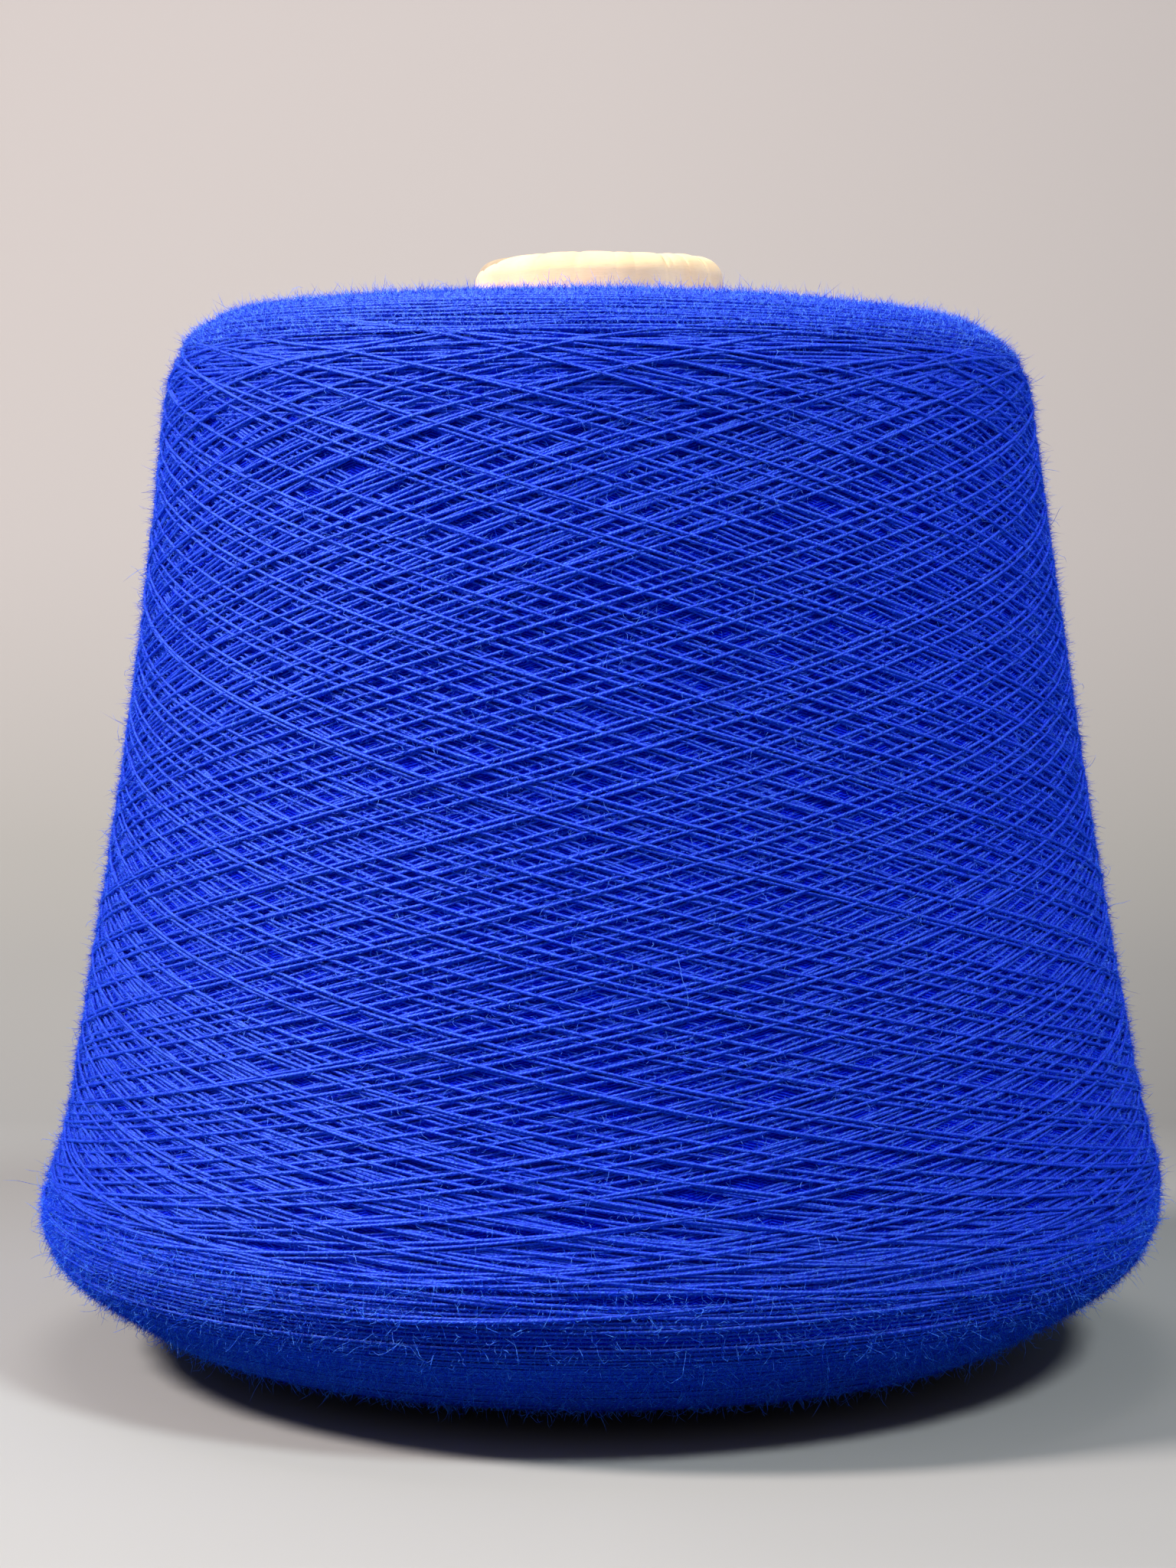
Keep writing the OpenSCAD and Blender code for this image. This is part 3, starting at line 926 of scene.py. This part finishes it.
# The nap is painted darker than the yarn, as shade among its hairs.
NAP_SHADE_TONES = ((0.36, (0.0005, 0.010, 0.34)), (0.52, (0.002, 0.030, 0.52)), (0.66, (0.02, 0.10, 0.76)))
FIBRE_TONES = ((0.36, (0.008, 0.06, 0.75)), (0.64, (0.14, 0.32, 0.95)))
TOP_TONES = ((0.42, (0.0005, 0.008, 0.34)), (0.52, (0.006, 0.050, 0.66)), (0.62, (0.105, 0.25, 0.75)))
LOW_TONES = ((0.38, (0.0002, 0.016, 0.74)), (0.62, (0.003, 0.060, 1.0)))
HEM_TONES = ((0.36, (0.0005, 0.012, 0.42)), (0.52, (0.003, 0.040, 0.70)), (0.66, (0.02, 0.11, 0.90)))
LOW_FIBRE_TONES = ((0.36, (0.004, 0.07, 0.85)), (0.64, (0.12, 0.36, 1.0)))
nap = fuzz_material("yarn_nap", NAP_SHADE_TONES, grain=1900)
low_nap = fuzz_material("yarn_low_nap", LOW_TONES, grain=1600)
top_nap = fuzz_material("yarn_top_nap", TOP_TONES, grain=1400)
hem_nap = fuzz_material("yarn_hem_nap", HEM_TONES, grain=1900)
low_fibre = fuzz_material("yarn_low_fibre", LOW_FIBRE_TONES)
fibre = fuzz_material("yarn_fibre", FIBRE_TONES)
# The parts of the surface, by distance along the outline
FLANK = (outline.where_z(26), outline.where_z(155))
OVER = (FLANK[1], outline.length - 1)
UNDER = (8.0, FLANK[0])
HEM = (outline.where_z(9), outline.where_z(27))
WHOLE = (UNDER[0], OVER[1])
# What fills one piece: hairs of one segment have 3 triangles, and those of three have 15
NAP_COUNT = 60000
FIBRE_COUNT = 12500
NAP = {"count": NAP_COUNT, "segments": 1}
FIBRES = {"count": FIBRE_COUNT, "segments": 3}
for index in range(1, 6):
    make_fuzz(f"short_fibres_{index}", where=FLANK, length=1.0, lift=3.0, material=nap, **NAP)
for index in range(1, 4):
    make_fuzz(f"flank_fibres_{index}", where=FLANK, length=1.4, lift=1.1, material=fibre, **FIBRES)
for index in range(1, 3):
    make_fuzz(f"top_nap_{index}", where=OVER, length=1.1, lift=1.8, material=top_nap, thick=NAP_D, **NAP)
make_fuzz("top_fibres", where=OVER, length=1.4, lift=0.8, material=fibre, **FIBRES)
make_fuzz("hem_nap", where=HEM, length=1.0, lift=2.0, material=hem_nap, thick=NAP_D, **NAP)
make_fuzz("under_nap", where=UNDER, length=0.8, lift=2.0, material=low_nap, **NAP)
for index in range(1, 4):
    make_fuzz(f"under_fibres_{index}", where=UNDER, length=1.9, lift=0.7, material=low_fibre, **FIBRES)
make_fuzz("long_fibres", where=WHOLE, length=2.4, lift=0.9, material=fibre, count=4000, segments=5)


# ---- pieces: the paper cone ----------------------------------------------------------------
# Folds of the cover that show on the right: where round the nose, how deep, how wide
DEEP_FOLDS = [
    (math.radians(-57), 2.2, 0.020),
    (math.radians(-29), 2.6, 0.025),
    (math.radians(-44), 1.2, 0.015),
]
SMALL_FOLDS = 34
FOLD_DEPTH, FOLD_WIDTH = (0.3, 1.0), (0.015, 0.05)
FOLD_SINK = -0.16  # how far out of the surface a fold of depth 1 lies
WAVINESS = 0.10
# How much of the folds shows at these heights, and inside the bore
RIM_Z, RIM_SHARE = (160, 165.5, 169, 170), (0, 0.25, 0.9, 1)
BORE_SHARE = 0.35
NOSE_SLUMP = 1.0  # how much lower the nose lies on the left
SLUMP_Z = 163  # from this height up
COVER_COLUMNS = 720
FLANK_STEPS = (0, 0.01, 0.3, 0.6, 0.85, 0.93, 0.96, 0.98)
INSIDE_DEPTH = 0.98  # of the ply's inside, as a share of its thickness


def make_cover():
    """The cover ply: cream paper over the cone, turned into the nose in small pleats."""
    nose_corner = np.array([cone_r(CONE_H), CONE_H])
    bore_corner = np.array([BORE_R, CONE_H])
    base = np.array([cone_r(PLY_TRIM), PLY_TRIM])
    outer = rounded(base, nose_corner, bore_corner, NOSE_ROUND, 20)
    lip = rounded(nose_corner, bore_corner, np.array([BORE_R, 0.0]), BORE_ROUND, 10)
    flank = np.array([base + (outer[0] - base) * share for share in FLANK_STEPS])
    bore = np.array([[BORE_R, z] for z in np.linspace(CONE_H - 2.5, CONE_H - BORE_H, 4)])
    skin = np.concatenate([flank, outer, lip, bore])
    way = unit(np.gradient(skin, axis=0))
    out = np.stack([way[:, 1], -way[:, 0]], -1)
    inside = skin - out * PLY_T * INSIDE_DEPTH
    azimuth = np.linspace(0, 2 * math.pi, COVER_COLUMNS, endpoint=False)
    # Pleats: sharp little folds of uneven spacing, deepest where the ply turns in.
    pleat = np.zeros(COVER_COLUMNS)
    folds = [
        (at, rng.uniform(*FOLD_DEPTH), rng.uniform(*FOLD_WIDTH))
        for at in rng.uniform(0, 2 * math.pi, SMALL_FOLDS)
    ]
    for at, depth, width in folds + DEEP_FOLDS:
        gap = (azimuth - at + math.pi) % (2 * math.pi) - math.pi
        pleat += depth * np.exp(-np.abs(gap) / width)
    waves = range(2, 9)
    bulge = sum(rng.normal(0, 1) * np.sin(azimuth * k + rng.uniform(0, ANY_PHASE)) / k for k in waves)
    rim = np.interp(skin[:, 1], RIM_Z, RIM_SHARE)
    rim = np.where(skin[:, 0] < BORE_R + 0.1, BORE_SHARE, rim)
    dented = rim[:, None] * (FOLD_SINK * pleat[None] + WAVINESS * bulge[None])
    slumped = NOSE_SLUMP * np.clip(-np.cos(azimuth), 0, 1) ** 3
    layers = []
    for line in (skin, inside):
        shape = line[:, None] + dented[..., None] * out[:, None]
        shape[..., 1] -= np.interp(line[:, 1], (SLUMP_Z, CONE_H), (0, 1))[:, None] * slumped
        ring, level = shape[..., 0], shape[..., 1]
        layers.append(np.stack([ring * np.cos(azimuth), ring * np.sin(azimuth), level], -1))
    rings = np.concatenate([layers[0], layers[1][::-1]])
    faces = closed_faces(len(rings), COVER_COLUMNS)
    # The map of the painted crease shade: the folds' depth, where the ply turns in, and none inside.
    near_rim = np.exp(-np.interp(skin[:, 1], (166, 169.4), (3.0, 0.0)))
    sharp = near_rim[:, None] * np.clip(pleat, 0, 3) / 3
    sharp = np.concatenate([sharp, sharp[::-1] * 0]).ravel()[faces.ravel()]
    crease = np.stack([sharp, np.zeros(len(sharp))], -1)
    piece = make_mesh("cone_cover", rings.reshape(-1, 3), faces, {"crease": crease})
    piece.data.materials.append(paper_material())
    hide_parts("cover_ply")


make_cover()
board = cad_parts["board_cone"]
board.data.materials.clear()
board.data.materials.append(board_material())


# ---- floor, backdrop and light -----------------------------------------------------------------
# In metres: the table's front edge, the wall, and the sweep between them
FLOOR_FRONT = -1.6
WALL_Y = 1.5
SWEEP_R = 1.0
WALL_H = 2.2
HALF_WIDTH = 2.4
FLOOR_ROWS, SWEEP_ROWS, STAGE_COLUMNS = 49, 36, 25
VIEW_SLOPE = 0.168  # half of the photograph's width over its focal length
LEAST_REACH = 0.3
# Tone of the table and the wall at the left, by the distance back from the middle in metres, with
# painted light and shade: lighter at the front and high on the wall, darker on the table behind the
# package.
# And how much of it is left at the right: painted shade across to the right, deepest behind the package,
# where its shadow falls.
TABLE_TONES = (
    (-0.10, (0.324, 0.302, 0.291)),
    (0.05, (0.292, 0.276, 0.268)),
    (0.20, (0.212, 0.195, 0.186)),
    (0.68, (0.296, 0.267, 0.247)),
    (1.00, (0.402, 0.349, 0.333)),
    (1.42, (0.484, 0.414, 0.393)),
)
TABLE_SHADE_AT_RIGHT = ((-0.10, 0.84), (0.20, 0.71), (0.68, 0.90), (1.42, 0.95))
TONES_FROM, TONES_TO = -0.4, 2.0  # the distances that the ramps span
BOUNCE = (0.02, 0.12, 0.22)  # what the table sends back to the yarn


def make_stage():
    """A pale table that sweeps up into a wall behind."""
    floor = np.linspace(FLOOR_FRONT, WALL_Y - SWEEP_R, FLOOR_ROWS)
    turn = np.linspace(0, math.pi / 2, SWEEP_ROWS + 1)[1:]
    y = np.concatenate([floor, WALL_Y - SWEEP_R + SWEEP_R * np.sin(turn), [WALL_Y]])
    z = np.concatenate([np.zeros(FLOOR_ROWS), SWEEP_R - SWEEP_R * np.cos(turn), [WALL_H]])
    along = np.concatenate([[0], np.cumsum(np.hypot(np.diff(y), np.diff(z)))]) + FLOOR_FRONT
    x = np.linspace(-HALF_WIDTH, HALF_WIDTH, STAGE_COLUMNS)
    columns = [np.tile(x, (len(y), 1)), np.tile(y[:, None], len(x)), np.tile(z[:, None], len(x))]
    grid = np.stack(columns, -1)
    reach = VIEW_SLOPE * np.maximum(y[:, None] + CAMERA_DISTANCE * MM, LEAST_REACH)
    sideways = grid[..., 0] / reach
    flat = np.stack([sideways, np.tile(along[:, None], len(x))], -1).reshape(-1, 2)
    i = np.arange(len(y) - 1)[:, None] * len(x)
    k = np.arange(len(x) - 1)[None]
    faces = np.stack([i + k, i + k + 1, i + k + 1 + len(x), i + k + len(x)], -1).reshape(-1, 4)
    mesh = bpy.data.meshes.new("table_and_wall")
    mesh.from_pydata(grid.reshape(-1, 3).tolist(), [], faces.tolist())
    mesh.uv_layers.new(name="sweep")
    mesh.uv_layers["sweep"].uv.foreach_set("vector", flat[faces.ravel()].astype(np.float32).ravel())
    mesh.polygons.foreach_set("use_smooth", np.ones(len(faces), bool))
    sweep = bpy.data.objects.new("table_and_wall", mesh)
    bpy.context.scene.collection.objects.link(sweep)
    sweep.data.materials.append(stage_material())


def stage_material():
    """Its tone along the sweep, and across it, as seen, with painted light and shade; to the yarn it
    gives a plain tone.
    """
    n = Nodes("table_and_wall")
    sweep = n.uv("sweep")
    back = n.share(n.part(sweep, "Y"), TONES_FROM, TONES_TO)
    span = TONES_TO - TONES_FROM
    # Painted light and shade on the table and wall, along the sweep and across it.
    left = n.ramp(back, [((at - TONES_FROM) / span, tone) for at, tone in TABLE_TONES])
    right_shade = n.ramp(back, [((at - TONES_FROM) / span, (left_over,) * 3) for at, left_over in TABLE_SHADE_AT_RIGHT])
    tone = n.mix(n.share(n.part(sweep, "X")), left, n.multiply(left, right_shade))
    seen = n.add("LightPath").outputs["Is Camera Ray"]
    n.paint(n.mix(seen, BOUNCE, tone))
    n.set(Roughness=0.8, Specular_IOR_Level=0.1)
    return n.material


AIM = (0, 0, 0.10)  # of every lamp: the middle of the package


def make_light(name, at, size, power, colour=WHITE):
    """A round soft lamp that looks at the package."""
    data = bpy.data.lights.new(name, "AREA")
    data.shape = "DISK"
    data.size = size
    data.energy = power
    data.color = colour
    light = bpy.data.objects.new(name, data)
    light.location = at
    light.rotation_mode = "QUATERNION"
    light.rotation_quaternion = (Vector(AIM) - Vector(at)).to_track_quat("-Z", "Y")
    bpy.context.scene.collection.objects.link(light)


make_stage()
make_light("key", (-1.17, -0.26, 1.18), size=0.35, power=45.0, colour=(1.0, 0.97, 0.93))
make_light("fill", (0.77, -0.76, 1.42), size=0.4, power=28.0, colour=(0.84, 0.97, 1.0))
make_light("top", (-0.1, 0.50, 1.40), size=0.8, power=8.0)


# How strong the room's light is, from this far down to this far up
ROOM_LIGHT = {"From Min": 0.1, "From Max": 0.9, "To Min": 0.09, "To Max": 0.36}
ROOM_COLOUR = (0.95, 0.98, 1.0, 1)


def make_world():
    """Room light: weak from low down, stronger from above."""
    world = bpy.data.worlds.new("world")
    world.use_nodes = True
    nodes, links = world.node_tree.nodes, world.node_tree.links
    split = nodes.new("ShaderNodeSeparateXYZ")
    links.new(nodes.new("ShaderNodeTexCoord").outputs["Generated"], split.inputs["Vector"])
    height = nodes.new("ShaderNodeMapRange")
    for socket, value in ROOM_LIGHT.items():
        height.inputs[socket].default_value = value
    links.new(split.outputs["Z"], height.inputs["Value"])
    links.new(height.outputs["Result"], nodes["Background"].inputs["Strength"])
    nodes["Background"].inputs["Color"].default_value = ROOM_COLOUR
    bpy.context.scene.world = world


make_world()
bpy.context.scene.view_settings.view_transform = "Standard"
